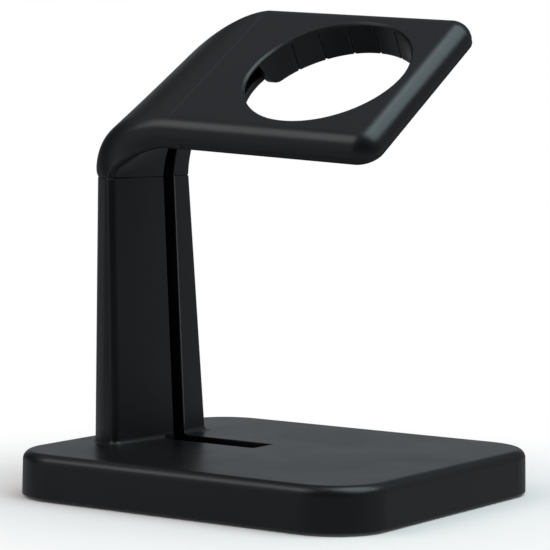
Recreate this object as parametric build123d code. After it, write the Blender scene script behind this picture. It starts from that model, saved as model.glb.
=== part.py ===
from build123d import *
from math import cos, radians, sin, sqrt
import os

# Smartwatch charging dock. Millimetres, +Z up, X from the column towards the free end of the
# plate, -Y the front. The origin is on the floor, below the middle of the base.

# Base moulding
base_length = 70.0
base_width = 62.0
base_height = 7.8
base_corner_radius = 10.0
base_draft_deg = 1.1
base_top_round = 1.6
base_wall = 2.0
base_skin = 2.0
floor_gap = 0.5

# Column, from the top of the base to the seam under the head
seam_height = 53.0
foot_face_x = -21.7
seam_face_x = -23.0
foot_front_half = 15.4
foot_rear_half = 11.7
foot_depth = 10.4
seam_front_half = 15.4
seam_rear_half = 8.1
seam_depth = 8.35
face_bulge = 0.9
front_lean = 3.6
rear_lean = 3.3
back_radius = 10.0
column_edge_radius = 1.2
column_wall = 1.7
foot_flare = 0.9
seam_chamfer = 0.15

# Cable groove, which leans a little to the rear towards the foot, and the slot in the base
groove_width = 3.3
groove_depth = 4.5
groove_wall = 1.4
groove_foot_y = 1.95
groove_seam_y = 0.2
slot_width = 6.2
slot_y = 0.5
slot_end_x = -2.9
slot_corner = 0.6

# Head: the plate's own frame starts at the middle of the puck seat
seat_x = 9.3
head_rise = 18.4
plate_tilt_deg = 33.9
plate_droop_deg = 2.84
plate_front_half = 19.0
plate_rear_half = 18.8
plate_free_end = 18.4
plate_thickness = 4.6
plate_round = 3.2
plate_corner_radius = 3.7
plate_skin = 1.8
skirt_wall = 1.6
neck_start = 19.2
bend_start = 22.0

# The bend's four edges: handle at the plate and handle at the leg, as shares of the run and the rise
front_inner_handles = (0.38, 0.30)
front_outer_handles = (0.61, 0.34)
rear_outer_handles = (0.40, 0.68)
rear_inner_handles = (0.30, 0.52)
bend_front_radius = 8.7
bend_rear_radius = 7.2
front_round_power = 1.8
rear_round_power = 0.85

# Puck seat
seat_radius = 14.3
seat_depth = 6.0
seat_wall = 1.1
seat_lip = 0.35
slit_width = 0.35
slit_top = 0.6
slit_pitch_deg = 20.0
first_slit_deg = 146.5
last_slit_deg = -113.5
gap_rear = 0.9
gap_front = 8.6
gap_slant = 1.5
gap_flare = 2.5
gap_flare_height = 1.3

# Head cover
cover_thickness = 1.1
cover_edge_round = 0.4
cover_inset = 0.1
cover_seat_clearance = 0.25
peg_radius = 0.9
peg_length = 1.3
peg_inset = 4.4
peg_boss_radius = 2.0
peg_clearance = 0.05

# Tongue of the head inside the column, and its screw
tongue_length = 7.8
tongue_clearance = 0.2
tongue_end_gap = 0.2
diaphragm = 2.0
head_screw_y = -8.0
head_screw_v = 3.75
head_screw_shank = 1.0
head_screw_length = 8.0
head_screw_head_radius = 1.75
head_screw_head_height = 1.3

# Bottom cover with feet, screws and the cable duct
bottom_thickness = 1.6
bottom_clearance = 0.2
foot_radius = 4.0
foot_height = 1.3
foot_inset = 8.5
foot_clearance = 0.2
screw_inset_x = 19.0
screw_inset_y = 7.0
screw_head_radius = 2.3
screw_head_height = 1.6
screw_shank = 1.15
screw_length = 4.2
screw_head_sink = 2.0
screw_clearance = 0.3
thread_clearance = 0.05
cup_wall = 1.2
boss_radius = 2.6
duct_inset = 26.0
duct_width = 4.0
duct_height = 3.2
duct_wall = 1.2
window_length = 8.0
stop_width = 1.2
stop_length = 30.0
stop_height = 1.5

# Ballast
ballast_duct_gap = 4.3
ballast_end_gap = 2.3
ballast_side_gap = 2.3
ballast_thickness = 3.0
ballast_corner = 6.0
ballast_clearance = 0.6

# The plate's directions: along it, across it towards the rear, and out of its top face
droop = radians(plate_droop_deg)
tilt = radians(plate_tilt_deg)
along = Vector(cos(droop), 0, -sin(droop))
out = along.cross(Vector(0, cos(tilt), sin(tilt))).normalized()
across = out.cross(along)
seat_center = Vector(seat_x, 0, seam_height + head_rise)
plate_plane = Plane(origin=seat_center, x_dir=along, z_dir=out)

inner_top = base_height - base_skin
bottom_top = floor_gap + bottom_thickness
cup_floor = floor_gap + screw_head_sink
cup_top = cup_floor + cup_wall
duct_x = duct_inset - base_length / 2
ballast_start_x = duct_x + duct_width / 2 + duct_wall + ballast_duct_gap
foot_x = base_length / 2 - foot_inset
foot_y = base_width / 2 - foot_inset
screw_x = base_length / 2 - screw_inset_x
screw_y = base_width / 2 - screw_inset_y
foot_spots = [(sx * foot_x, sy * foot_y) for sx in (-1, 1) for sy in (-1, 1)]
screw_spots = [(sx * screw_x, sy * screw_y) for sx in (-1, 1) for sy in (-1, 1)]
bottom_align = (Align.CENTER, Align.CENTER, Align.MIN)
top_align = (Align.CENTER, Align.CENTER, Align.MAX)


def mix(a, b, t):
    """Value between a and b."""
    return a + (b - a) * t


def reach_per_radius(corner, before, after):
    """How far a corner's rounding reaches along its sides, per unit of radius."""
    to_before = (Vector(*before) - Vector(*corner)).normalized()
    to_after = (Vector(*after) - Vector(*corner)).normalized()
    half_cos = (to_before + to_after).normalized().dot(to_before)
    return half_cos / sqrt(1 - half_cos**2)


def corner_arc(corner, before, after, radius):
    """Points where a corner's rounding starts, its middle, and where it ends."""
    to_before = (Vector(*before) - Vector(*corner)).normalized()
    to_after = (Vector(*after) - Vector(*corner)).normalized()
    reach = radius * reach_per_radius(corner, before, after)
    bisector = (to_before + to_after).normalized()
    center = Vector(*corner) + bisector * sqrt(reach**2 + radius**2)
    return (
        Vector(*corner) + to_before * reach,
        center - bisector * radius,
        Vector(*corner) + to_after * reach,
    )


def section(plane, corners, bulge, front_r, rear_r, edge_r):
    """Closed outline in a plane, from its four corners: u runs to the rear, v outwards.

    The corners are front inner, front outer, rear outer and rear inner. The inner face swells
    by bulge in its middle.
    """
    a, b, c, d = [Vector(*corner) for corner in corners]
    slope = 4 * bulge / (d - a).length
    a_face, d_face = a + Vector(1, -slope), d + Vector(-1, -slope)
    top_room = (c - b).length / 2
    front_room = (b - a).length - edge_r * reach_per_radius(a, a_face, b)
    rear_room = (c - d).length - edge_r * reach_per_radius(d, d_face, c)
    front_r = min(front_r, 0.97 * min(front_room, top_room) / reach_per_radius(b, a, c))
    rear_r = min(rear_r, 0.97 * min(rear_room, top_room) / reach_per_radius(c, b, d))
    arcs = [
        corner_arc(a, a_face, b, edge_r),
        corner_arc(b, a, c, front_r),
        corner_arc(c, b, d, rear_r),
        corner_arc(d, c, d_face, edge_r),
    ]
    edges = []
    for i, (start, middle, end) in enumerate(arcs):
        following = arcs[(i + 1) % 4][0]
        edges.append(ThreePointArc(start, middle, end))
        if i == 3 and bulge > 0.01:
            edges.append(ThreePointArc(end, (a + d) / 2 - Vector(0, bulge), following))
        else:
            edges.append(Line(end, following))
    return plane * Wire(edges)


def face_x(z):
    """X of the column's inner face at height z."""
    return mix(foot_face_x, seam_face_x, (z - base_height) / (seam_height - base_height))


def column_corners(z, inset=0.0):
    """The column's four corners at height z, drawn in by inset: u to the rear, v outwards."""
    t = (z - base_height) / (seam_height - base_height)
    front = mix(foot_front_half, seam_front_half, t) - 1.3 * inset
    rear = mix(foot_rear_half, seam_rear_half, t) - 1.3 * inset
    depth = mix(foot_depth, seam_depth, t) - 2 * inset
    shrink = 1 - inset / 5
    return [
        (-front, face_bulge),
        (-front + front_lean * shrink, depth),
        (rear - rear_lean * shrink, depth),
        (rear, face_bulge),
    ]


def column_section(z, inset=0.0):
    """Outline of the column at height z, drawn in by inset."""
    plane = Plane(origin=(face_x(z) - inset, 0, z), x_dir=(0, 1, 0), z_dir=(0, 0, 1))
    back = back_radius - 3 * inset
    edge = column_edge_radius - 0.45 * inset
    return section(plane, column_corners(z, inset), face_bulge, back, back, edge)


def column_loft(low, high, inset=0.0):
    """Tapered solid of the column between two heights."""
    return Solid.make_loft([column_section(low, inset), column_section(high, inset)], ruled=True)


def column_solid():
    """Column with the small hollow flare at its foot and the bevel under the seam."""
    wires = [column_section(base_height - 0.3, -foot_flare)]
    for i in range(5):
        rise = foot_flare * i / 4
        spread = foot_flare - sqrt(foot_flare**2 - (foot_flare - rise) ** 2)
        wires.append(column_section(base_height + rise, -spread))
    wires.append(column_section(seam_height - seam_chamfer))
    wires.append(column_section(seam_height, seam_chamfer))
    return Solid.make_loft(wires, ruled=True)


def groove_y(z):
    """Y of the groove's middle at height z."""
    return mix(groove_foot_y, groove_seam_y, (z - base_height) / (seam_height - base_height))


def groove_solid(low, high, extra=0.0):
    """Cutting solid of the cable groove between two heights, grown by extra."""
    half = groove_width / 2 + extra
    reach = groove_depth + extra
    mouth = 2 * groove_depth
    wires = []
    for z in (low, high):
        y = groove_y(z)
        front, back = face_x(z) + mouth, face_x(z) - reach
        wires.append(
            Polyline(
                (front, y - half, z), (front, y + half, z), (back, y + half, z), (back, y - half, z),
                close=True,
            )
        )
    return Solid.make_loft(wires, ruled=True)


def front_half_space(z):
    """Box in front of the middle plane, around height z, as tall as the tongue needs."""
    return Pos(0, -base_width / 2, z) * Box(2 * base_length, base_width, 4 * tongue_length)


def column_cavity():
    """Hollow of the column: open to the base below, and a socket for the tongue above."""
    shelf = seam_height - tongue_length - tongue_end_gap
    low_part = column_loft(inner_top - 0.5, shelf - diaphragm, column_wall)
    low_part -= groove_solid(inner_top - 1, seam_height, groove_wall)
    high_part = column_loft(shelf, seam_height + 0.5, column_wall)
    high_part -= groove_solid(shelf - 1, seam_height + 1, groove_wall)
    return [low_part, high_part & front_half_space(shelf)]


def head_screw_place():
    """Axis of the head screw: x and y."""
    return face_x(seam_height - tongue_length) - head_screw_v, head_screw_y


def make_base_body():
    """Base shell and column in one moulding."""
    outline = RectangleRounded(base_length, base_width, base_corner_radius)
    body = extrude(Pos(0, 0, floor_gap) * outline, amount=base_height - floor_gap, taper=base_draft_deg)
    body = fillet(body.edges().group_by(Axis.Z)[-1], base_top_round)
    body = body + column_solid()
    room = RectangleRounded(
        base_length - 2 * base_wall, base_width - 2 * base_wall, base_corner_radius - base_wall
    )
    body -= extrude(Pos(0, 0, floor_gap) * room, amount=inner_top - floor_gap)
    for hollow in column_cavity():
        body -= hollow
    body -= groove_solid(inner_top - 1, seam_height + 1)
    slot_length = slot_end_x - foot_face_x
    slot = Pos(foot_face_x + slot_length / 2, slot_y, inner_top - 1) * RectangleRounded(
        slot_length, slot_width, slot_corner
    )
    body -= extrude(slot, amount=base_skin + 2)
    for x, y in screw_spots:
        boss = Pos(x, y, cup_top) * Cylinder(boss_radius, inner_top - cup_top + 0.5, align=bottom_align)
        pilot = Pos(x, y, cup_top) * Cylinder(
            screw_shank + thread_clearance, screw_length - cup_wall + 0.3, align=bottom_align
        )
        body = body + boss - pilot
    exit_hole = Pos(duct_x, base_width / 2, floor_gap) * Box(
        duct_width, 4 * base_wall, duct_height, align=bottom_align
    )
    body -= exit_hole
    x, y = head_screw_place()
    body -= Pos(x, y, inner_top) * Cylinder(
        head_screw_shank + 0.15, seam_height - tongue_length - inner_top, align=bottom_align
    )
    return body


def bezier(p0, p1, p2, p3, t):
    """Point of a cubic curve."""
    s = 1 - t
    return p0 * s**3 + p1 * (3 * s * s * t) + p2 * (3 * s * t * t) + p3 * t**3


def plate_point(x, y, z):
    """World point of a place in the plate's frame."""
    return seat_center + along * x + across * y + out * z


def bend_corners(t):
    """The bend's four corners at t: 0 where the bend starts, 1 above the seam."""
    leg_top = seam_height + seam_chamfer
    half = (plate_front_half, plate_front_half, plate_rear_half, plate_rear_half)
    side = (-1, -1, 1, 1)
    depth = (plate_thickness, 0, 0, plate_thickness)
    handles = (front_inner_handles, front_outer_handles, rear_outer_handles, rear_inner_handles)
    points = []
    for i, (u, v) in enumerate(column_corners(leg_top)):
        start = plate_point(-bend_start, side[i] * half[i], -depth[i])
        end = Vector(face_x(leg_top) - v, u, leg_top)
        run = (start.X - end.X) * handles[i][0]
        rise = (start.Z - end.Z) * handles[i][1]
        points.append(bezier(start, start - along * run, end + Vector(0, 0, rise), end, t))
    return points


def bend_plane(t):
    """Plane through the bend's section at t, with its corners in that plane."""
    a, b, c, d = bend_corners(t)
    middle = (a + d) / 2
    width_dir = (d - a).normalized()
    reach = (b + c) / 2 - middle
    out_dir = (reach - width_dir * reach.dot(width_dir)).normalized()
    plane = Plane(origin=middle, x_dir=width_dir, z_dir=width_dir.cross(out_dir))
    flat = [((p - middle).dot(width_dir), (p - middle).dot(out_dir)) for p in (a, b, c, d)]
    return plane, flat


def bend_section(t):
    """Outline of the bend at t."""
    plane, corners = bend_plane(t)
    ease = t * t * (3 - 2 * t)
    return section(
        plane,
        corners,
        face_bulge * ease,
        mix(plate_round, bend_front_radius, t**front_round_power),
        mix(plate_round, bend_rear_radius, t**rear_round_power),
        mix(cover_edge_round, column_edge_radius, t),
    )


def plate_section(x):
    """Outline across the plate at x, over its full thickness."""
    plane = Plane(origin=plate_point(x, 0, -plate_thickness), x_dir=across, z_dir=along)
    corners = [
        (-plate_front_half, 0), (-plate_front_half, plate_thickness),
        (plate_rear_half, plate_thickness), (plate_rear_half, 0),
    ]
    return section(plane, corners, 0.0, plate_round, plate_round, cover_edge_round)


def make_leg():
    """Bend and leg of the head, from the plate down to the seam."""
    bend_line = plate_section(-bend_start)
    neck = Solid.make_loft([plate_section(-neck_start), bend_line], ruled=True)
    bend = [bend_section(t) for t in (0.06, 0.15, 0.26, 0.38, 0.5, 0.62, 0.74, 0.86, 0.94)]
    seat = column_section(seam_height + seam_chamfer)
    leg = Solid.make_loft([bend_line] + bend + [seat])
    bevel = Solid.make_loft([seat, column_section(seam_height, seam_chamfer)], ruled=True)
    return neck + leg + bevel


def leg_channel():
    """Cable channel along the inside of the bend, as a cutting solid that deepens downwards."""
    half = groove_width / 2
    mouth = -groove_depth / 2
    wires = []
    for t, share in ((0.1, 0.1), (0.2, 0.35), (0.35, 0.7), (0.5, 0.9), (0.65, 1.0), (0.8, 1.0), (0.92, 1.0)):
        plane = bend_plane(t)[0]
        y = mix(plate_point(-bend_start, 0, -plate_thickness).Y, groove_seam_y, t)
        shift = (y - plane.origin.Y) / plane.x_dir.Y
        depth = groove_depth * share
        outline = Polyline(
            (shift - half, mouth), (shift + half, mouth), (shift + half, depth), (shift - half, depth), close=True
        )
        wires.append(plane * outline)
    for z in (seam_height + seam_chamfer, seam_height - 1):
        y, front, back = groove_y(seam_height), face_x(z) - mouth, face_x(z) - groove_depth
        wires.append(
            Polyline((front, y - half, z), (front, y + half, z), (back, y + half, z), (back, y - half, z), close=True)
        )
    return Solid.make_loft(wires, ruled=True)


def plate_outline(start, inset):
    """Plan of the plate in its own frame, from x = -start to the free end."""
    length = start + plate_free_end - inset
    width = plate_front_half + plate_rear_half - 2 * inset
    middle_y = (plate_rear_half - plate_front_half) / 2
    shape = Pos(plate_free_end - inset - length / 2, middle_y) * Rectangle(length, width)
    return fillet(shape.vertices().group_by(Axis.X)[-1], plate_corner_radius - inset)


def peg_spots():
    """Places of the cover's pegs in the plate's frame."""
    spots = []
    for x in (-neck_start + peg_inset, plate_free_end - peg_inset):
        spots += [(x, -plate_front_half + peg_inset), (x, plate_rear_half - peg_inset)]
    return spots


def ring_slits():
    """Slits that part the seat's wall into spring fingers."""
    slits = []
    count = int((first_slit_deg - last_slit_deg) / slit_pitch_deg) + 1
    for i in range(count):
        slit = Pos(seat_radius + seat_wall / 2, 0, -slit_top) * Box(
            3 * seat_wall, slit_width, seat_depth, align=top_align
        )
        slits.append(Rot(0, 0, first_slit_deg - i * slit_pitch_deg) * slit)
    return slits


def gap_side(y, sign):
    """One side of the seat's gap, from its top down: slanted, then rounded at the mouth."""
    corner = (y + sign * gap_slant, -seat_depth + gap_flare_height)
    mouth = (y + sign * (gap_slant + gap_flare), -seat_depth)
    middle = (mix(corner[0], mouth[0], 0.35), mix(corner[1], mouth[1], 0.72))
    below = (mouth[0], -seat_depth - 1)
    return (y, -slit_top), corner, middle, mouth, below


def ring_gap():
    """Gap in the seat's wall where the cable leaves, as a cutting solid."""
    rear, front = gap_side(gap_rear, 1), gap_side(-gap_front, -1)
    outline = [Line(front[0], rear[0]), Line(rear[4], front[4])]
    for top, corner, middle, mouth, below in (rear, front):
        outline += [Line(top, corner), ThreePointArc(corner, middle, mouth), Line(mouth, below)]
    outer = seat_radius + seat_wall
    plane = Plane(origin=(-outer - seat_wall, 0, 0), x_dir=(0, 1, 0), z_dir=(1, 0, 0))
    reach = outer + seat_wall - sqrt(seat_radius**2 - (gap_front + gap_slant + gap_flare) ** 2)
    return extrude(plane * make_face(outline), amount=reach + seat_wall)


def make_plate():
    """Plate with its skirt and the puck seat, in the plate's own frame."""
    rim_depth = plate_thickness - cover_thickness
    plate = extrude(plate_outline(neck_start, 0), amount=-rim_depth)
    round_edges = [
        e for e in plate.edges().group_by(Axis.Z)[-1] if e.center().X > -neck_start + 0.1
    ]
    plate = fillet(round_edges, plate_round)
    pocket = plate_outline(neck_start - skirt_wall, skirt_wall)
    pocket -= Circle(seat_radius + seat_wall)
    for x, y in peg_spots():
        pocket -= Pos(x, y) * Circle(peg_boss_radius)
    plate -= extrude(Pos(0, 0, -rim_depth) * pocket, amount=rim_depth - plate_skin)
    ring = Circle(seat_radius + seat_wall)
    plate = plate + extrude(Pos(0, 0, -seat_depth) * ring, amount=seat_depth - plate_skin / 2)
    plate -= Pos(0, 0, seat_wall) * Cylinder(seat_radius, seat_depth + 2 * seat_wall, align=top_align)
    lip = plate.edges().filter_by(GeomType.CIRCLE).group_by(Axis.Z)[-1]
    plate = chamfer([e for e in lip if abs(e.radius - seat_radius) < 0.01], seat_lip)
    for slit in ring_slits():
        plate -= slit
    plate -= ring_gap()
    for x, y in peg_spots():
        plate -= Pos(x, y, -rim_depth) * Cylinder(
            peg_radius + peg_clearance, peg_length + 2 * peg_clearance, align=bottom_align
        )
    return plate


def make_head_shell():
    """Head moulding: plate, bend, leg and the tongue that enters the column."""
    head = plate_plane * make_plate() + make_leg()
    head -= leg_channel()
    low = seam_height - tongue_length
    tongue = column_loft(low, seam_height + 0.5, column_wall + tongue_clearance)
    tongue -= groove_solid(low - 1, seam_height + 2, groove_wall + tongue_clearance)
    tongue &= front_half_space(low)
    head = head + tongue
    x, y = head_screw_place()
    pilot = Pos(x, y, low) * Cylinder(
        head_screw_shank + thread_clearance, head_screw_length - diaphragm + 0.5, align=bottom_align
    )
    return head - pilot


def make_head_cover():
    """Thin cover that closes the plate from below, with its pegs."""
    outline = plate_outline(neck_start - cover_inset, cover_inset)
    outline -= Circle(seat_radius + seat_wall + cover_seat_clearance)
    cover = extrude(Pos(0, 0, -plate_thickness) * outline, amount=cover_thickness)
    rim = [
        e for e in cover.edges().group_by(Axis.Z)[0]
        if e.center().X > -neck_start + 2 * cover_inset and e.center().length > seat_radius + 2 * seat_wall
    ]
    cover = fillet(rim, cover_edge_round)
    for x, y in peg_spots():
        cover = cover + Pos(x, y, cover_thickness - plate_thickness) * Cylinder(
            peg_radius, peg_length, align=bottom_align
        )
    return plate_plane * cover


def make_bottom_cover():
    """Bottom cover: feet recesses, screw cups, cable window and duct."""
    inset = base_wall + bottom_clearance
    outline = RectangleRounded(
        base_length - 2 * inset, base_width - 2 * inset, base_corner_radius - inset
    )
    cover = extrude(Pos(0, 0, floor_gap) * outline, amount=bottom_thickness)
    rear = base_width / 2 - inset
    duct_start = slot_y - slot_width / 2
    duct_middle = (rear + duct_start) / 2
    cover = cover + Pos(duct_x, duct_middle, floor_gap) * Box(
        duct_width + 2 * duct_wall, rear - duct_start, duct_height + duct_wall, align=bottom_align
    )
    for x, y in screw_spots:
        cup_radius = screw_head_radius + screw_clearance + cup_wall
        cover = cover + Pos(x, y, floor_gap) * Cylinder(cup_radius, cup_top - floor_gap, align=bottom_align)
        cover -= Pos(x, y, floor_gap) * Cylinder(
            screw_head_radius + screw_clearance, screw_head_sink, align=bottom_align
        )
        cover -= Pos(x, y, floor_gap) * Cylinder(screw_shank + 0.2, cup_top, align=bottom_align)
    for x, y in foot_spots:
        cover -= Pos(x, y, floor_gap) * Cylinder(
            foot_radius + foot_clearance, foot_height - floor_gap, align=bottom_align
        )
    cover -= Pos(duct_x, duct_middle, floor_gap) * Box(
        duct_width, rear - duct_start + 1, duct_height, align=bottom_align
    )
    window = Pos(duct_x, slot_y, floor_gap) * Box(
        window_length, slot_width, base_height, align=bottom_align
    )
    cover -= window
    stop = Pos(ballast_start_x - 0.4 - stop_width / 2, 0, bottom_top) * Box(
        stop_width, stop_length, stop_height, align=bottom_align
    )
    return cover + stop


def make_ballast():
    """Steel ballast plate that lies on the bottom cover."""
    end_x = base_length / 2 - base_wall - ballast_end_gap
    half_y = base_width / 2 - base_wall - ballast_side_gap
    length = end_x - ballast_start_x
    outline = Pos(ballast_start_x + length / 2, 0) * RectangleRounded(length, 2 * half_y, ballast_corner)
    for y in (-screw_y, screw_y):
        outline -= Pos(screw_x, y) * Circle(screw_head_radius + screw_clearance + cup_wall + ballast_clearance)
    return extrude(Pos(0, 0, bottom_top) * outline, amount=ballast_thickness)


def make_foot(x, y):
    """Round rubber foot in its recess."""
    foot = Pos(x, y, 0) * Cylinder(foot_radius, foot_height, align=bottom_align)
    return fillet(foot.edges().group_by(Axis.Z)[0], 0.3)


def make_screw(x, y, seat_z, shank, length, head_radius, head_height):
    """Self-tapping screw with a domed head and a cross recess, head down."""
    head = Pos(x, y, seat_z) * Cylinder(head_radius, head_height, align=top_align)
    head = fillet(head.edges().group_by(Axis.Z)[0], 0.4 * head_height)
    stem = Pos(x, y, seat_z) * Cylinder(shank, length, align=bottom_align)
    stem = chamfer(stem.edges().group_by(Axis.Z)[-1], 0.4 * shank)
    screw = head + stem
    for turn in (0, 90):
        wing = Pos(x, y, seat_z - head_height) * Rot(0, 0, turn)
        screw -= wing * Box(1.1 * head_radius, 0.28 * head_radius, 0.6 * head_height, align=bottom_align)
    return screw


def make_head_screw():
    """Screw that pulls the tongue down onto the column's shelf."""
    x, y = head_screw_place()
    seat_z = seam_height - tongue_length - tongue_end_gap - diaphragm
    return make_screw(
        x, y, seat_z, head_screw_shank, head_screw_length, head_screw_head_radius, head_screw_head_height
    )


def main():
    """Build every piece and write its file."""
    corner_names = ("front_left", "rear_left", "front_right", "rear_right")
    pieces = {
        "base_body": make_base_body(),
        "bottom_cover": make_bottom_cover(),
        "ballast_plate": make_ballast(),
        "head_shell": make_head_shell(),
        "head_cover": make_head_cover(),
        "head_screw": make_head_screw(),
    }
    for name, (x, y) in zip(corner_names, foot_spots):
        pieces["foot_" + name] = make_foot(x, y)
    for name, (x, y) in zip(corner_names, screw_spots):
        pieces["screw_" + name] = make_screw(
            x, y, cup_floor, screw_shank, screw_length, screw_head_radius, screw_head_height
        )
    os.makedirs("parts", exist_ok=True)
    for name, piece in pieces.items():
        export_step(piece, f"parts/{name}.step")
        box = piece.bounding_box()
        print(name, "solids", len(piece.solids()), "volume", round(piece.volume, 1), box.min, box.max)


main()
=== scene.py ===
"""Looks of the smartwatch charging dock: satin black mouldings, rubber feet, dark screws, pale floor."""
import logging
import math
from collections import Counter
from dataclasses import dataclass
from enum import Enum
from typing import Sequence

import bpy
from mathutils import Matrix, Vector


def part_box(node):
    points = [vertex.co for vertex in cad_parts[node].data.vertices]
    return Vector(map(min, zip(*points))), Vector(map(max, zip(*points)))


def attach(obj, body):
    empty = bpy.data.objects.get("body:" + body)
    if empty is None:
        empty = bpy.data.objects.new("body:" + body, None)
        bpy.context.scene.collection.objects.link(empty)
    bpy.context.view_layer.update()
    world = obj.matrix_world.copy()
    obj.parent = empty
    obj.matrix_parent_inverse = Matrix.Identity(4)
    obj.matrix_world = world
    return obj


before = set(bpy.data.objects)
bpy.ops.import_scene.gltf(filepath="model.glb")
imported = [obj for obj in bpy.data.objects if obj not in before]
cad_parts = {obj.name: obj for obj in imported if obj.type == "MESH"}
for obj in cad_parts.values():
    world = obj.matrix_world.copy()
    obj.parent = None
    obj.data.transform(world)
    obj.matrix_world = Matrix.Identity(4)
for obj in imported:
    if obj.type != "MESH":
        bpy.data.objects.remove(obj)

log = logging.getLogger("charging_dock")

Material = bpy.types.Material
Node = bpy.types.Node
Socket = bpy.types.NodeSocket
Tree = bpy.types.NodeTree
Triple = tuple[float, float, float]
Face = tuple[int, ...]
Value = Socket | float | Triple
Inputs = dict[str | int, Value]

MM = 0.001
MM_PER_METRE = 1000.0
WHITE: Triple = (1.0, 1.0, 1.0)


class GroupName(Enum):
    """The shader node groups that several finishes share."""

    SPARK_GRAIN = "spark grain"
    EDGE_RUB_AND_HIGHLIGHT = "edge rub"
    SETTLED_DUST = "settled dust"
    MOULD_CLOUD = "mould cloud"


class SocketKind(Enum):
    """What a socket of a node group carries."""

    NUMBER = "NodeSocketFloat"
    DIRECTION = "NodeSocketVector"


class LampRole(Enum):
    """What each soft lamp of the studio does."""

    KEY = "key"
    RIM = "rim"


class Wiring:
    """Adds nodes to one node tree and links them, so that materials and groups read from top to bottom."""

    column_width = 200
    row_height = 240

    def __init__(self, tree: Tree) -> None:
        """Keeps the tree of a material, a world or a group."""
        self.tree = tree

    def node(self, kind: str, values: Inputs | None = None, **settings: object) -> Node:
        """Adds a node.

        Args:
            kind: the node's type.
            values: what its inputs get, by name or place.
            settings: properties of the node, by name.

        Returns:
            The new node.
        """
        made = self.tree.nodes.new(kind)
        for name, value in settings.items():
            setattr(made, name, value)
        self.feed(made, values or {})
        return made

    def feed(self, node: Node, values: Inputs) -> None:
        """Sets inputs of a node, by a link where the value is a socket.

        Args:
            node: the node that has the inputs.
            values: a socket to link from or a constant, by the input's name or place.
        """
        for name, value in values.items():
            target = node.inputs[name]
            if isinstance(value, Socket):
                self.tree.links.new(value, target)
            elif target.type == "RGBA":
                target.default_value = (*value, 1.0)
            else:
                target.default_value = value

    def coordinates(self) -> Socket:
        """The place on the piece, in metres in the shared frame."""
        return self.node("ShaderNodeTexCoord").outputs["Object"]

    def normal(self) -> Socket:
        """The way that the surface faces."""
        return self.node("ShaderNodeNewGeometry").outputs["Normal"]

    def height_of(self, vector: Socket) -> Socket:
        """The upright part of a place or a direction."""
        return self.node("ShaderNodeSeparateXYZ", {0: vector}).outputs["Z"]

    def dot(self, first: Value, second: Value) -> Socket:
        """The dot product of two places or directions."""
        made = self.node("ShaderNodeVectorMath", {0: first, 1: second}, operation="DOT_PRODUCT")
        return made.outputs["Value"]

    def length(self, vector: Socket) -> Socket:
        """The length of a vector."""
        return self.node("ShaderNodeVectorMath", {0: vector}, operation="LENGTH").outputs["Value"]

    def maths(self, kind: str, *values: Value, clamp: bool = False) -> Socket:
        """Works out a value.

        Args:
            kind: the operation.
            values: what it works on.
            clamp: whether the result is kept between 0 and 1.

        Returns:
            The result.
        """
        made = self.node("ShaderNodeMath", dict(enumerate(values)), operation=kind, use_clamp=clamp)
        return made.outputs[0]

    def ramp(self, value: Socket, low: float, high: float) -> Socket:
        """Turns a value into a smooth step between two limits.

        Args:
            value: the value that is stepped.
            low: where the step starts at 0.
            high: where it ends at 1.

        Returns:
            The stepped value.
        """
        values = {"Value": value, "From Min": low, "From Max": high}
        made = self.node("ShaderNodeMapRange", values, interpolation_type="SMOOTHSTEP")
        return made.outputs["Result"]

    def noise(
        self, place: Socket, scale: Value, detail: float, roughness: float = 0.5, distortion: float = 0.0
    ) -> Socket:
        """Adds a soft noise.

        Args:
            place: where on the piece it is read.
            scale: how many waves of it fill a metre.
            detail: how many finer layers it has.
            roughness: how strong the finer layers are.
            distortion: how far it is drawn out of shape.

        Returns:
            The noise, about 0.5.
        """
        values = {"Vector": place, "Scale": scale, "Detail": detail}
        values |= {"Roughness": roughness, "Distortion": distortion}
        return self.node("ShaderNodeTexNoise", values).outputs["Fac"]

    def mix_value(self, share: Value, first: Value, second: Value) -> Socket:
        """Mixes two values by the share of the second."""
        return self.node("ShaderNodeMix", {0: share, 2: first, 3: second}, data_type="FLOAT").outputs[0]

    def mix_colour(self, share: Value, first: Value, second: Value) -> Socket:
        """Mixes two colours by the share of the second."""
        return self.node("ShaderNodeMix", {0: share, 6: first, 7: second}, data_type="RGBA").outputs[2]

    def mix_shader(self, share: Socket, first: Node, second: Node) -> Socket:
        """Mixes two shaders by the share of the second."""
        values = {0: share, 1: first.outputs[0], 2: second.outputs[0]}
        return self.node("ShaderNodeMixShader", values).outputs[0]

    def bump(self, height: Socket, normal: Socket, depth_mm: float) -> Socket:
        """Lays a fine relief on a normal.

        Args:
            height: the relief, from 0 to 1.
            normal: the normal that it lies on.
            depth_mm: how deep it is.

        Returns:
            The normal with the relief.
        """
        values = {"Strength": 1.0, "Distance": depth_mm * MM, "Height": height, "Normal": normal}
        return self.node("ShaderNodeBump", values).outputs["Normal"]

    def shows_background(self) -> Socket:
        """Whether a ray shows the background: camera, glossy and transmission rays do.

        Returns:
            A value of 1 for those rays, else 0.
        """
        path = self.node("ShaderNodeLightPath")
        mirrored = self.maths("MAXIMUM", path.outputs["Is Glossy Ray"], path.outputs["Is Transmission Ray"])
        return self.maths("MAXIMUM", path.outputs["Is Camera Ray"], mirrored)

    def arrange(self) -> None:
        """Sets the nodes in columns, each to the right of all that feeds it."""
        column = {node.name: 0 for node in self.tree.nodes}
        for _ in self.tree.nodes:
            for link in self.tree.links:
                after = column[link.from_node.name] + 1
                column[link.to_node.name] = max(column[link.to_node.name], after)
        filled: Counter[int] = Counter()
        for node in self.tree.nodes:
            at = column[node.name]
            node.location = (self.column_width * at, -self.row_height * filled[at])
            filled[at] += 1


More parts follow.
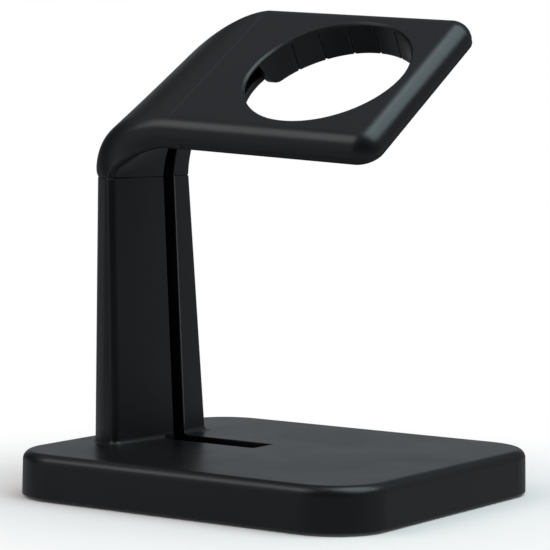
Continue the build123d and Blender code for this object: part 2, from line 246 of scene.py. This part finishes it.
class SharedGroups:
    """Builds the shader node groups once and places them in materials."""

    noise_to_grain = 1.7
    patches_per_metre = 240.0
    specks_per_metre = 600.0
    drifts_per_metre = 55.0

    def __init__(self) -> None:
        """Builds each group."""
        self.trees: dict[GroupName, Tree] = {
            GroupName.SPARK_GRAIN: self.make_spark_grain(),
            GroupName.EDGE_RUB_AND_HIGHLIGHT: self.make_edge_rub_and_highlight(),
            GroupName.SETTLED_DUST: self.make_settled_dust(),
            GroupName.MOULD_CLOUD: self.make_mould_cloud(),
        }

    @staticmethod
    def new_tree(
        name: GroupName, inputs: dict[str, float], outputs: dict[str, SocketKind]
    ) -> tuple[Wiring, Node, Node]:
        """Makes an empty group with its sockets.

        Args:
            name: the group's name.
            inputs: name and default of each input, all of them numbers.
            outputs: name and kind of each output.

        Returns:
            The wiring, the input node and the output node.
        """
        tree = bpy.data.node_groups.new(name.value, "ShaderNodeTree")
        number = SocketKind.NUMBER.value
        for label, value in inputs.items():
            given = tree.interface.new_socket(name=label, in_out="INPUT", socket_type=number)
            given.default_value = value
        for label, kind in outputs.items():
            tree.interface.new_socket(name=label, in_out="OUTPUT", socket_type=kind.value)
        w = Wiring(tree)
        return w, w.node("NodeGroupInput"), w.node("NodeGroupOutput")

    def make_spark_grain(self) -> Tree:
        """Fine eroded grain of a steel mould: rounded pits over a finer noise.

        Returns:
            The group's tree.
        """
        w, given, out = self.new_tree(
            GroupName.SPARK_GRAIN,
            {"Grain Size": 0.25, "Pit Share": 0.5},
            {"Height": SocketKind.NUMBER, "Sheen Mask": SocketKind.NUMBER},
        )
        place = w.coordinates()
        scale = w.maths("DIVIDE", MM_PER_METRE, given.outputs["Grain Size"])
        pit_values = {"Vector": place, "Scale": scale, "Smoothness": 0.6}
        pits = w.node("ShaderNodeTexVoronoi", pit_values, feature="SMOOTH_F1", distance="EUCLIDEAN")
        fine_scale = w.maths("MULTIPLY", scale, self.noise_to_grain)
        fine = w.noise(place, fine_scale, detail=3.0, roughness=0.6)
        height = w.mix_value(given.outputs["Pit Share"], fine, pits.outputs["Distance"])
        w.feed(out, {"Height": height, "Sheen Mask": w.ramp(fine, low=0.3, high=0.7)})
        w.arrange()
        return w.tree

    def make_edge_rub_and_highlight(self) -> Tree:
        """Mask of the edges and the normal of a tiny mould radius; the finishes paint the mask as rubbed
        wear and, on the satin plastic, as a painted highlight along the roundings and creases.

        Returns:
            The group's tree.
        """
        w, given, out = self.new_tree(
            GroupName.EDGE_RUB_AND_HIGHLIGHT,
            {"Radius": 0.0003, "Patchiness": 0.4},
            {"Mask": SocketKind.NUMBER, "Rounded Normal": SocketKind.DIRECTION},
        )
        bevel = w.node("ShaderNodeBevel", {"Radius": given.outputs["Radius"]}, samples=6)
        rounded = bevel.outputs["Normal"]
        turned = w.maths("SUBTRACT", 1.0, w.dot(rounded, w.normal()))
        patches = w.noise(w.coordinates(), self.patches_per_metre, detail=4.0)
        missed = w.maths("MULTIPLY", patches, given.outputs["Patchiness"])
        rubbed = w.maths("SUBTRACT", 1.0, missed)
        mask = w.maths("MULTIPLY", w.ramp(turned, low=0.004, high=0.16), rubbed, clamp=True)
        w.feed(out, {"Mask": mask, "Rounded Normal": rounded})
        w.arrange()
        return w.tree

    def make_settled_dust(self) -> Tree:
        """Mask of the few specks of dust that lie on what faces up.

        Returns:
            The group's tree.
        """
        w, given, out = self.new_tree(
            GroupName.SETTLED_DUST, {"Amount": 0.3, "Speck Size": 0.5}, {"Mask": SocketKind.NUMBER}
        )
        place = w.coordinates()
        scale = w.maths("DIVIDE", self.specks_per_metre, given.outputs["Speck Size"])
        specks = w.node("ShaderNodeTexVoronoi", {"Vector": place, "Scale": scale})
        dots = w.maths("SUBTRACT", 1.0, w.ramp(specks.outputs["Distance"], low=0.03, high=0.1))
        drift = w.ramp(w.noise(place, self.drifts_per_metre, detail=2.0), low=0.52, high=0.72)
        upward = w.ramp(w.height_of(w.normal()), low=0.3, high=0.95)
        settled = w.maths("MULTIPLY", w.maths("MULTIPLY", dots, drift), upward)
        w.feed(out, {"Mask": w.maths("MULTIPLY", settled, given.outputs["Amount"], clamp=True)})
        w.arrange()
        return w.tree

    def make_mould_cloud(self) -> Tree:
        """Slow drift of tone and gloss that a large moulded face has.

        Returns:
            The group's tree.
        """
        w, given, out = self.new_tree(
            GroupName.MOULD_CLOUD, {"Cloud Size": 20.0, "Contrast": 1.0}, {"Value": SocketKind.NUMBER}
        )
        scale = w.maths("DIVIDE", MM_PER_METRE, given.outputs["Cloud Size"])
        cloud = w.noise(w.coordinates(), scale, detail=3.0, distortion=0.4)
        spread = w.maths("MULTIPLY", w.maths("SUBTRACT", cloud, 0.5), given.outputs["Contrast"])
        w.feed(out, {"Value": w.maths("ADD", spread, 0.5, clamp=True)})
        w.arrange()
        return w.tree

    def place(self, w: Wiring, name: GroupName, **values: float) -> Node:
        """Places a group in a material with its own values.

        Args:
            w: the material's wiring.
            name: which group is placed.
            values: input values, with underscores for the blanks in their names.

        Returns:
            The group node.
        """
        inputs = {label.replace("_", " ").title(): value for label, value in values.items()}
        return w.node("ShaderNodeGroup", inputs, node_tree=self.trees[name])


def new_material(name: str, shade: Triple) -> tuple[Material, Wiring, Node]:
    """Makes a node material that holds one principled shader.

    Args:
        name: the material's name.
        shade: colour in the viewport.

    Returns:
        The material, its wiring and its shader.
    """
    made = bpy.data.materials.new(name)
    made.use_nodes = True
    made.diffuse_color = (*shade, 1.0)
    return made, Wiring(made.node_tree), made.node_tree.nodes["Principled BSDF"]


def new_piece(
    name: str, points: Sequence[Vector | Triple], faces: Sequence[Face], finish: Material
) -> bpy.types.Object:
    """Makes a piece from its points and faces and puts it in the scene.

    Args:
        name: the piece's name.
        points: its points in metres.
        faces: the numbers of each face's points.
        finish: its material.

    Returns:
        The piece.
    """
    mesh = bpy.data.meshes.new(name)
    mesh.from_pydata(points, [], faces)
    mesh.materials.append(finish)
    piece = bpy.data.objects.new(name, mesh)
    bpy.context.scene.collection.objects.link(piece)
    return piece


def scaled(colour: Triple, share: float, most: float = 1.0) -> Triple:
    """A colour made darker or paler, up to a limit."""
    return tuple(min(most, share * part) for part in colour)


@dataclass(frozen=True)
class TiltedPlate:
    """Where the head's plate lies: its seat's centre and its own three directions."""

    seat_centre_mm: Triple = (9.3, 0.0, 71.4)
    along: Triple = (0.99877, 0.0, -0.04955)
    across: Triple = (0.0276, 0.83024, 0.55672)
    out: Triple = (0.04116, -0.55741, 0.82922)

    def point(self, radius_mm: float, turn: float, height_mm: float) -> Vector:
        """A point round the seat's axis.

        Args:
            radius_mm: its distance from the axis.
            turn: its angle from the plate's length in radians.
            height_mm: its height over the plate's face.

        Returns:
            The point in metres in the shared frame.
        """
        reach = radius_mm * math.cos(turn) * Vector(self.along)
        flat = reach + radius_mm * math.sin(turn) * Vector(self.across)
        return MM * (Vector(self.seat_centre_mm) + flat + height_mm * Vector(self.out))

    def place_along_mm(self, from_seat_mm: float) -> float:
        """The place, along the plate's length, of what lies so far from the seat's centre."""
        return sum(part * way for part, way in zip(self.seat_centre_mm, self.along)) + from_seat_mm


PLATE = TiltedPlate()


@dataclass(frozen=True)
class WitnessAndHighlightLine:
    """Faint line along a face: on the head, the line that the join of two mould inserts leaves; on the base,
    a painted highlight along the cable groove's rear edge.
    """

    across: Triple
    place_mm: float
    facing: Triple = (0.0, 0.0, 1.0)
    above_mm: float = 0.0
    fade_mm: float = 1.0
    half_mm: float = 0.16
    core_share: float = 0.25
    colour: Triple = (0.02, 0.02, 0.023)

    def mask(self, w: Wiring) -> Socket:
        """Builds the line's mask.

        Args:
            w: the material's wiring.

        Returns:
            A value of 1 on the line, else 0.
        """
        place = w.coordinates()
        off = w.maths("ABSOLUTE", w.maths("SUBTRACT", w.dot(place, self.across), self.place_mm * MM))
        beside = w.ramp(off, low=self.core_share * self.half_mm * MM, high=self.half_mm * MM)
        line = w.maths("SUBTRACT", 1.0, beside)
        turned = w.ramp(w.dot(w.normal(), self.facing), low=0.5, high=0.75)
        top_mm = self.above_mm + self.fade_mm
        high = w.ramp(w.height_of(place), low=self.above_mm * MM, high=top_mm * MM)
        return w.maths("MULTIPLY", line, w.maths("MULTIPLY", high, turned))


@dataclass(frozen=True)
class MouldedPlastic:
    """Satin moulded plastic with spark grain, a little dust, and lighter edges that are partly rubbed wear
    and partly a painted highlight.
    """

    name: str
    colour: Triple
    # Lighter edge colour: partly rubbed wear, partly a painted highlight along the roundings and creases.
    rubbed_and_highlight_colour: Triple
    roughness: float = 0.34
    rubbed_roughness: float = 0.26
    roughness_drift: float = 0.1
    sheen_speckle: float = 0.1
    specular: float = 0.5
    cloud_mm: float = 14.0
    cloud_shade: float = 0.78
    grain_mm: float = 0.26
    grain_depth_mm: float = 0.011
    edge_mm: float = 0.3
    dust: float = 0.3
    dust_colour: Triple = (0.21, 0.2, 0.18)
    witness_and_highlight_line: WitnessAndHighlightLine | None = None

    def material(self, groups: SharedGroups) -> Material:
        """Builds the finish.

        Args:
            groups: the shared node groups.

        Returns:
            The material.
        """
        made, w, shader = new_material(self.name, self.colour)
        cloud = groups.place(w, GroupName.MOULD_CLOUD, cloud_size=self.cloud_mm, contrast=1.4)
        grain = groups.place(w, GroupName.SPARK_GRAIN, grain_size=self.grain_mm, pit_share=0.45)
        rounded_edges = groups.place(w, GroupName.EDGE_RUB_AND_HIGHLIGHT, radius=self.edge_mm * MM, patchiness=0.45)
        dust = groups.place(w, GroupName.SETTLED_DUST, amount=self.dust, speck_size=0.8)
        shaded = scaled(self.colour, self.cloud_shade)
        colour = w.mix_colour(cloud.outputs["Value"], shaded, self.colour)
        # Edges and creases get the lighter colour: rubbed wear plus a painted highlight.
        colour = w.mix_colour(rounded_edges.outputs["Mask"], colour, self.rubbed_and_highlight_colour)
        # Painted highlight line on the base, mould witness line on the head.
        if self.witness_and_highlight_line:
            colour = w.mix_colour(self.witness_and_highlight_line.mask(w), colour, self.witness_and_highlight_line.colour)
        colour = w.mix_colour(dust.outputs["Mask"], colour, self.dust_colour)
        drift = w.maths("MULTIPLY", cloud.outputs["Value"], self.roughness_drift)
        speckle = w.maths("MULTIPLY", grain.outputs["Sheen Mask"], self.sheen_speckle)
        lowest = self.roughness - 0.5 * (self.roughness_drift + self.sheen_speckle)
        plain = w.maths("ADD", w.maths("ADD", drift, speckle), lowest)
        gloss = w.maths("MULTIPLY", rounded_edges.outputs["Mask"], self.rubbed_roughness - self.roughness)
        rough = w.maths("ADD", plain, gloss, clamp=True)
        normal = w.bump(grain.outputs["Height"], rounded_edges.outputs["Rounded Normal"], self.grain_depth_mm)
        w.feed(shader, {"Base Color": colour, "Roughness": rough, "Normal": normal})
        w.feed(shader, {"Specular IOR Level": self.specular})
        w.arrange()
        return made


@dataclass(frozen=True)
class FootRubber:
    """Dark matt rubber, a little chalky, with paler worn edges."""

    name: str
    colour: Triple = (0.022, 0.022, 0.023)
    chalk: Triple = (0.05, 0.05, 0.051)
    worn_colour: Triple = (0.07, 0.07, 0.07)
    roughness: float = 0.78
    roughness_drift: float = 0.12
    specular: float = 0.3
    cloud_mm: float = 2.5
    grain_mm: float = 0.12
    grain_depth_mm: float = 0.008
    edge_mm: float = 0.15

    def material(self, groups: SharedGroups) -> Material:
        """Builds the finish.

        Args:
            groups: the shared node groups.

        Returns:
            The material.
        """
        made, w, shader = new_material(self.name, self.colour)
        cloud = groups.place(w, GroupName.MOULD_CLOUD, cloud_size=self.cloud_mm, contrast=1.8)
        grain = groups.place(w, GroupName.SPARK_GRAIN, grain_size=self.grain_mm, pit_share=0.2)
        rounded_edges = groups.place(w, GroupName.EDGE_RUB_AND_HIGHLIGHT, radius=self.edge_mm * MM, patchiness=0.7)
        colour = w.mix_colour(cloud.outputs["Value"], self.colour, self.chalk)
        colour = w.mix_colour(rounded_edges.outputs["Mask"], colour, self.worn_colour)
        drift = cloud.outputs["Value"]
        rough = w.maths("MULTIPLY_ADD", drift, self.roughness_drift, self.roughness, clamp=True)
        normal = w.bump(grain.outputs["Height"], rounded_edges.outputs["Rounded Normal"], self.grain_depth_mm)
        w.feed(shader, {"Base Color": colour, "Roughness": rough, "Normal": normal})
        w.feed(shader, {"Specular IOR Level": self.specular})
        w.arrange()
        return made


@dataclass(frozen=True)
class PlatedSteel:
    """Plated or blackened steel with fine rolling or turning lines."""

    name: str
    colour: Triple
    bright: Triple
    roughness: float = 0.35
    roughness_drift: float = 0.2
    cloud_mm: float = 3.0
    cloud_shade: float = 0.7
    line_mm: float = 0.12
    line_depth_mm: float = 0.003
    stretch: Triple = (1.0, 14.0, 1.0)
    edge_mm: float = 0.1

    def material(self, groups: SharedGroups) -> Material:
        """Builds the finish.

        Args:
            groups: the shared node groups.

        Returns:
            The material.
        """
        made, w, shader = new_material(self.name, self.colour)
        cloud = groups.place(w, GroupName.MOULD_CLOUD, cloud_size=self.cloud_mm, contrast=1.6)
        rounded_edges = groups.place(w, GroupName.EDGE_RUB_AND_HIGHLIGHT, radius=self.edge_mm * MM, patchiness=0.5)
        squeeze = tuple(1.0 / share for share in self.stretch)
        drawn = w.node("ShaderNodeMapping", {"Vector": w.coordinates(), "Scale": squeeze})
        lines = w.noise(drawn.outputs["Vector"], MM_PER_METRE / self.line_mm, detail=3.0)
        colour = w.mix_colour(cloud.outputs["Value"], self.colour, scaled(self.colour, self.cloud_shade))
        colour = w.mix_colour(rounded_edges.outputs["Mask"], colour, self.bright)
        lowest = self.roughness - 0.5 * self.roughness_drift
        rough = w.maths("MULTIPLY_ADD", lines, self.roughness_drift, lowest, clamp=True)
        normal = w.bump(lines, rounded_edges.outputs["Rounded Normal"], self.line_depth_mm)
        w.feed(shader, {"Base Color": colour, "Roughness": rough, "Normal": normal})
        w.feed(shader, {"Metallic": 1.0})
        w.arrange()
        return made


@dataclass
class SubAssembly:
    """Pieces that are dressed together."""

    groups: SharedGroups

    def dress(self, node: str, finish: Material, slot: str) -> None:
        """Gives a piece of the solid model its finish.

        Args:
            node: the piece's name.
            finish: its material.
            slot: the record's material slot; not used.
        """
        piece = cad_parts[node]
        piece.data.materials.clear()
        piece.data.materials.append(finish)
        low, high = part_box(node)
        size = [round(MM_PER_METRE * (high[i] - low[i]), 1) for i in range(3)]
        log.info("%s: %s, %s mm, %d faces", node, finish.name, size, len(piece.data.polygons))


@dataclass
class WeightedBase(SubAssembly):
    """Base with its column, bottom cover, ballast, feet and screws."""

    shell: MouldedPlastic = MouldedPlastic(
        "satin base plastic", colour=(0.0052, 0.0052, 0.006), rubbed_and_highlight_colour=(0.038, 0.038, 0.042),
        # On the base, this line is a painted highlight along the cable groove's rear edge, lighter than the
        # plastic.
        witness_and_highlight_line=WitnessAndHighlightLine(
            across=(0.0, 1.0, 0.04), place_mm=4.14, facing=(1.0, 0.0, 0.0), above_mm=9.0,
            half_mm=0.2, colour=(0.08, 0.08, 0.086),
        ),
    )
    floor_cover: MouldedPlastic = MouldedPlastic(
        "matt cover plastic", colour=(0.011, 0.011, 0.012), rubbed_and_highlight_colour=(0.017, 0.017, 0.018),
        roughness=0.58, rubbed_roughness=0.45, grain_mm=0.35, grain_depth_mm=0.01, dust=0.0,
    )
    rubber: FootRubber = FootRubber("foot rubber")
    ballast: PlatedSteel = PlatedSteel(
        "rolled zinc plate", colour=(0.42, 0.42, 0.43), bright=(0.6, 0.6, 0.6), roughness=0.38,
        line_mm=0.4, stretch=(30.0, 1.0, 1.0),
    )
    screw: PlatedSteel = PlatedSteel(
        "black oxide steel", colour=(0.05, 0.05, 0.054), bright=(0.3, 0.29, 0.28), roughness=0.36,
    )
    corners: tuple[str, ...] = ("front_left", "rear_left", "front_right", "rear_right")

    def build(self) -> None:
        """Dresses every piece of the base."""
        self.dress("base_body", self.shell.material(self.groups), "shell")
        self.dress("bottom_cover", self.floor_cover.material(self.groups), "bottom")
        self.dress("ballast_plate", self.ballast.material(self.groups), "ballast")
        rubber, steel = self.rubber.material(self.groups), self.screw.material(self.groups)
        for corner in self.corners:
            self.dress(f"foot_{corner}", rubber, "rubber")
            self.dress(f"screw_{corner}", steel, "screw")


@dataclass(frozen=True)
class SlitWebs:
    """Thin webs of moulding skin across the slits between the spring fingers, thinner at the foot."""

    radius_mm: float = 14.62
    thick_mm: float = 0.22
    width_mm: float = 0.352
    round_mm: float = 0.02
    top_mm: float = -0.62
    foot_mm: float = -5.96
    first_deg: float = 146.5
    pitch_deg: float = 20.0
    count: int = 14
    levels: int = 8
    foot_shares: tuple[float, float] = (0.85, 0.5)
    steps: tuple[float, ...] = (-1, -0.35, 0.35, 1)
    sharp_deg: float = 35.0

    def ring(self, level: int, angle: float) -> list[Vector]:
        """Cross-section of one web at a level, in the shared frame and in metres.

        Args:
            level: number of the level, from the top down; the last two narrow to the foot.
            angle: the slit's angle about the seat's axis in radians.

        Returns:
            Its points in order, out along the outer side and back along the inner one.
        """
        share = level / (self.levels - 1)
        height = self.top_mm + (self.foot_mm - self.top_mm) * math.sin(0.5 * math.pi * share)
        shares = (1.0,) * (self.levels - len(self.foot_shares)) + self.foot_shares
        thick = self.thick_mm * shares[level]
        points = []
        for side, steps in ((0.5, self.steps), (-0.5, self.steps[::-1])):
            for step in steps:
                radius = self.radius_mm + side * thick - self.round_mm * (1 - abs(step))
                turn = angle + step * 0.5 * self.width_mm / self.radius_mm
                points.append(PLATE.point(radius, turn, height))
        return points

    def build(self, finish: Material) -> None:
        """Builds all the webs as one piece and dresses it.

        Args:
            finish: the head's material.
        """
        points: list[Vector] = []
        faces: list[Face] = []
        around = 2 * len(self.steps)
        for web in range(self.count):
            first = len(points)
            for level in range(self.levels):
                points += self.ring(level, math.radians(self.first_deg - web * self.pitch_deg))
            for level in range(self.levels - 1):
                for i in range(around):
                    start = first + around * level
                    a, b = start + i, start + (i + 1) % around
                    faces.append((a, a + around, b + around, b))
            top_face = tuple(first + i for i in range(around))
            foot_face = tuple(len(points) - 1 - i for i in range(around))
            faces += [top_face, foot_face]
        webs = new_piece("slit_webs", points, faces, finish)
        webs.data.shade_smooth()
        webs.data.set_sharp_from_angle(angle=math.radians(self.sharp_deg))
        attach(webs, "root")
        height_mm = self.top_mm - self.foot_mm
        log.info("slit_webs: %d webs, %.1f mm high, %d faces", self.count, height_mm, len(faces))


@dataclass
class CantileverHead(SubAssembly):
    """Head with its puck seat, the webs in the seat's slits, the cover below and the screw that holds it."""

    shell: MouldedPlastic = MouldedPlastic(
        "satin head plastic", colour=(0.0052, 0.0054, 0.0072), rubbed_and_highlight_colour=(0.04, 0.0404, 0.046),
        witness_and_highlight_line=WitnessAndHighlightLine(across=PLATE.along, place_mm=PLATE.place_along_mm(from_seat_mm=-22.0)),
    )
    webs: SlitWebs = SlitWebs()
    cover: MouldedPlastic = MouldedPlastic(
        "head cover plastic", colour=(0.009, 0.009, 0.0105), rubbed_and_highlight_colour=(0.014, 0.014, 0.016),
        roughness=0.5, rubbed_roughness=0.4, grain_mm=0.3, grain_depth_mm=0.006, dust=0.0,
    )
    screw: PlatedSteel = PlatedSteel(
        "black oxide head screw", colour=(0.05, 0.05, 0.054), bright=(0.3, 0.29, 0.28), roughness=0.36,
    )

    def build(self) -> None:
        """Dresses every piece of the head and adds the webs in its slits."""
        moulding = self.shell.material(self.groups)
        self.dress("head_shell", moulding, "head")
        self.webs.build(moulding)
        self.dress("head_cover", self.cover.material(self.groups), "cover")
        self.dress("head_screw", self.screw.material(self.groups), "screw")


@dataclass(frozen=True)
class SoftLamp:
    """A square softbox that points at the object."""

    role: LampRole
    towards: Triple
    distance: float
    size: float
    radiance: float
    colour: Triple = WHITE
    aim: Triple = (0.0, 0.0, 0.04)

    def build(self) -> None:
        """Hangs the lamp."""
        data = bpy.data.lights.new(f"{self.role.value} lamp", "AREA")
        data.shape = "SQUARE"
        data.size = self.size
        data.energy = self.radiance * math.pi * self.size**2
        data.color = self.colour
        lamp = bpy.data.objects.new(data.name, data)
        bpy.context.scene.collection.objects.link(lamp)
        direction = Vector(self.towards).normalized()
        lamp.location = Vector(self.aim) + self.distance * direction
        lamp.rotation_mode = "QUATERNION"
        lamp.rotation_quaternion = (-direction).to_track_quat("-Z", "Y")
        log.info("%s lamp: %.2f m away, radiance %.1f", self.role.value, self.distance, self.radiance)


@dataclass(frozen=True)
class TentPanel:
    """A paler or darker panel of the tent's cloth, seen only in reflections."""

    towards: Triple
    core_deg: float
    reach_deg: float
    level: float


@dataclass(frozen=True)
class StudioCamera:
    """The camera that gives the photograph's view."""

    place: Triple = (0.24634, -0.36391, 0.0708)
    right: Triple = (0.827, 0.5621, 0.0101)
    up: Triple = (-0.0514, 0.0576, 0.997)
    lens_mm: float = 171.87
    sensor_mm: float = 36.0
    nearest: float = 0.01
    farthest: float = 20.0

    def build(self) -> None:
        """Sets the camera up, with colours shown as they are."""
        data = bpy.data.cameras.new("photograph's camera")
        data.lens = self.lens_mm
        data.sensor_width = self.sensor_mm
        data.clip_start, data.clip_end = self.nearest, self.farthest
        camera = bpy.data.objects.new(data.name, data)
        bpy.context.scene.collection.objects.link(camera)
        right, up = Vector(self.right).normalized(), Vector(self.up).normalized()
        back = right.cross(up).normalized()
        turn = Matrix((right, back.cross(right), back)).transposed()
        camera.matrix_world = Matrix.Translation(Vector(self.place)) @ turn.to_4x4()
        bpy.context.scene.camera = camera
        bpy.context.scene.view_settings.view_transform = "Standard"


@dataclass
class Studio:
    """Pale floor, white surroundings, grey tent, soft lamps and the camera."""

    steps: int = 96
    floor_radius: float = 1.6
    floor_rings: int = 24
    floor_spread: float = 1.6
    floor_colour: Triple = (0.97, 0.91, 0.89)
    paler_share: float = 1.02
    palest: float = 0.98
    clear_from: float = 0.036
    clear_to: float = 0.095
    world_level: float = 0.45
    tent_radius: float = 1.4
    tent_low: float = 0.0003
    tent_rings_deg: tuple[int, ...] = tuple(range(6, 90, 12))
    tent_colour: Triple = (0.88, 0.94, 1.0)
    tent_level: float = 0.13
    apron_level: float = 0.24
    apron_from: float = 0.07
    apron_to: float = 0.24
    # What mirrors each panel, in order: the column's front; the roundings that face up; the column's
    # left side; the thin strip along its left edge; the bend's flat side; the plate; the bend's back;
    # the base's top; the column's inner face.
    panels: tuple[TentPanel, ...] = (
        TentPanel((0.58, -0.81, 0.05), core_deg=34.0, reach_deg=54.0, level=0.03),
        TentPanel((0.1, -0.04, 0.99), core_deg=8.0, reach_deg=22.0, level=1.3),
        TentPanel((-0.95, -0.1, 0.2), core_deg=18.0, reach_deg=36.0, level=0.045),
        TentPanel((-0.99, 0.05, -0.05), core_deg=3.0, reach_deg=13.0, level=0.28),
        TentPanel((-0.6, -0.79, 0.07), core_deg=9.0, reach_deg=22.0, level=0.42),
        TentPanel((-0.48, 0.14, 0.87), core_deg=17.0, reach_deg=32.0, level=0.27),
        TentPanel((-0.76, 0.47, 0.44), core_deg=7.0, reach_deg=20.0, level=0.05),
        TentPanel((-0.56, 0.82, 0.08), core_deg=14.0, reach_deg=30.0, level=0.36),
        TentPanel((0.66, 0.75, -0.02), core_deg=16.0, reach_deg=40.0, level=0.2),
    )
    lamps: tuple[SoftLamp, ...] = (
        SoftLamp(
            LampRole.RIM, towards=(0.5, 0.18, 0.84), distance=0.9, size=0.84, radiance=2.7,
            colour=(0.74, 0.94, 1.0),
        ),
        SoftLamp(LampRole.KEY, towards=(-0.49, -0.59, 0.65), distance=0.9, size=0.52, radiance=1.9),
    )
    camera: StudioCamera = StudioCamera()

    def build(self) -> None:
        """Sets the whole studio."""
        self.lay_floor()
        self.raise_tent()
        self.fill_world()
        for lamp in self.lamps:
            lamp.build()
        self.camera.build()

    def round_sheet(
        self, centre_height: float, rings: Sequence[tuple[float, float]]
    ) -> tuple[list[Triple], list[Face]]:
        """Points and faces of a round sheet about the upright axis.

        Args:
            centre_height: height of its middle point.
            rings: radius and height of each ring, from the middle outwards.

        Returns:
            The points, with the middle one first, and the faces, which look up.
        """
        points: list[Triple] = [(0.0, 0.0, centre_height)]
        for radius, height in rings:
            for step in range(self.steps):
                angle = 2 * math.pi * step / self.steps
                points.append((radius * math.cos(angle), radius * math.sin(angle), height))
        faces: list[Face] = []
        for step in range(self.steps):
            following = (step + 1) % self.steps
            faces.append((0, 1 + step, 1 + following))
            for ring in range(len(rings) - 1):
                inner, outer = 1 + ring * self.steps, 1 + (ring + 1) * self.steps
                faces.append((inner + step, outer + step, outer + following, inner + following))
        return points, faces

    def lay_floor(self) -> None:
        """Lays a round floor that fades to white away from the object, and keeps the shadow."""
        shares = [(ring + 1) / self.floor_rings for ring in range(self.floor_rings)]
        rings = [(self.floor_radius * share**self.floor_spread, 0.0) for share in shares]
        points, faces = self.round_sheet(0.0, rings)
        floor = new_piece("studio_floor", points, faces, self.floor_material())
        log.info("studio_floor: %.1f m across", 2 * self.floor_radius)

    def floor_material(self) -> Material:
        """Pale painted floor that turns into plain white further out for the rays that show the background.

        Returns:
            The material.
        """
        made, w, shader = new_material("pale floor", self.floor_colour)
        place = w.coordinates()
        cloud = w.noise(place, scale=40.0, detail=4.0)
        paler = scaled(self.floor_colour, self.paler_share, self.palest)
        colour = w.mix_colour(cloud, self.floor_colour, paler)
        w.feed(shader, {"Base Color": colour, "Roughness": 0.8, "Specular IOR Level": 0.2})
        far = w.ramp(w.length(place), low=self.clear_from, high=self.clear_to)
        white = w.node("ShaderNodeEmission")
        share = w.maths("MULTIPLY", far, w.shows_background())
        output = made.node_tree.nodes["Material Output"]
        w.feed(output, {"Surface": w.mix_shader(share, shader, white)})
        w.arrange()
        return made

    def raise_tent(self) -> None:
        """Raises the grey tent whose walls the satin faces mirror, like the dim studio in the photograph."""
        walls = [self.tent_radius * math.sin(math.radians(turn)) for turn in self.tent_rings_deg]
        heights = [self.tent_low, *walls]
        rings = [(math.sqrt(self.tent_radius**2 - height**2), height) for height in heights]
        points, inside = self.round_sheet(self.tent_low, rings)
        faces = [face[::-1] for face in inside]
        top, last = len(points), len(points) - self.steps
        points.append((0.0, 0.0, self.tent_radius))
        for step in range(self.steps):
            faces.append((last + step, last + (step + 1) % self.steps, top))
        tent = new_piece("studio_tent", points, faces, self.tent_material())
        for kind in ("camera", "diffuse", "transmission", "volume_scatter", "shadow"):
            setattr(tent, f"visible_{kind}", False)
        log.info("studio_tent: %.1f m across", 2 * self.tent_radius)

    def tent_material(self) -> Material:
        """Grey cloth of the tent, with its darker and paler panels and an even patch round the object.

        Returns:
            The material.
        """
        made, w, _ = new_material("tent cloth", self.tent_colour)
        place = w.coordinates()
        way = w.node("ShaderNodeVectorMath", {0: place}, operation="NORMALIZE").outputs[0]
        level: Value = self.tent_level
        for panel in self.panels:
            facing = w.dot(way, Vector(panel.towards).normalized())
            edge, core = math.cos(math.radians(panel.reach_deg)), math.cos(math.radians(panel.core_deg))
            level = w.mix_value(w.ramp(facing, low=edge, high=core), level, panel.level)
        away = w.ramp(w.length(place), low=self.apron_from, high=self.apron_to)
        level = w.mix_value(away, self.apron_level, level)
        glow = w.node("ShaderNodeEmission", {"Color": self.tent_colour, "Strength": level})
        w.feed(made.node_tree.nodes["Material Output"], {"Surface": glow.outputs[0]})
        w.arrange()
        return made

    def fill_world(self) -> None:
        """Gives the surroundings: white where they are seen, a plain grey level where they light."""
        world = bpy.data.worlds.new("studio surroundings")
        bpy.context.scene.world = world
        world.use_nodes = True
        w = Wiring(world.node_tree)
        light = world.node_tree.nodes["Background"]
        w.feed(light, {"Color": WHITE, "Strength": self.world_level})
        white = w.node("ShaderNodeBackground", {"Color": WHITE, "Strength": 1.0})
        surface = w.mix_shader(w.shows_background(), light, white)
        w.feed(world.node_tree.nodes["World Output"], {"Surface": surface})
        w.arrange()


def main() -> None:
    """Builds the looks in order and notes the sizes."""
    logging.basicConfig(level=logging.INFO, format="%(name)s: %(message)s")
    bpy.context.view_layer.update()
    groups = SharedGroups()
    WeightedBase(groups).build()
    CantileverHead(groups).build()
    Studio().build()


if __name__ == "__main__":
    main()
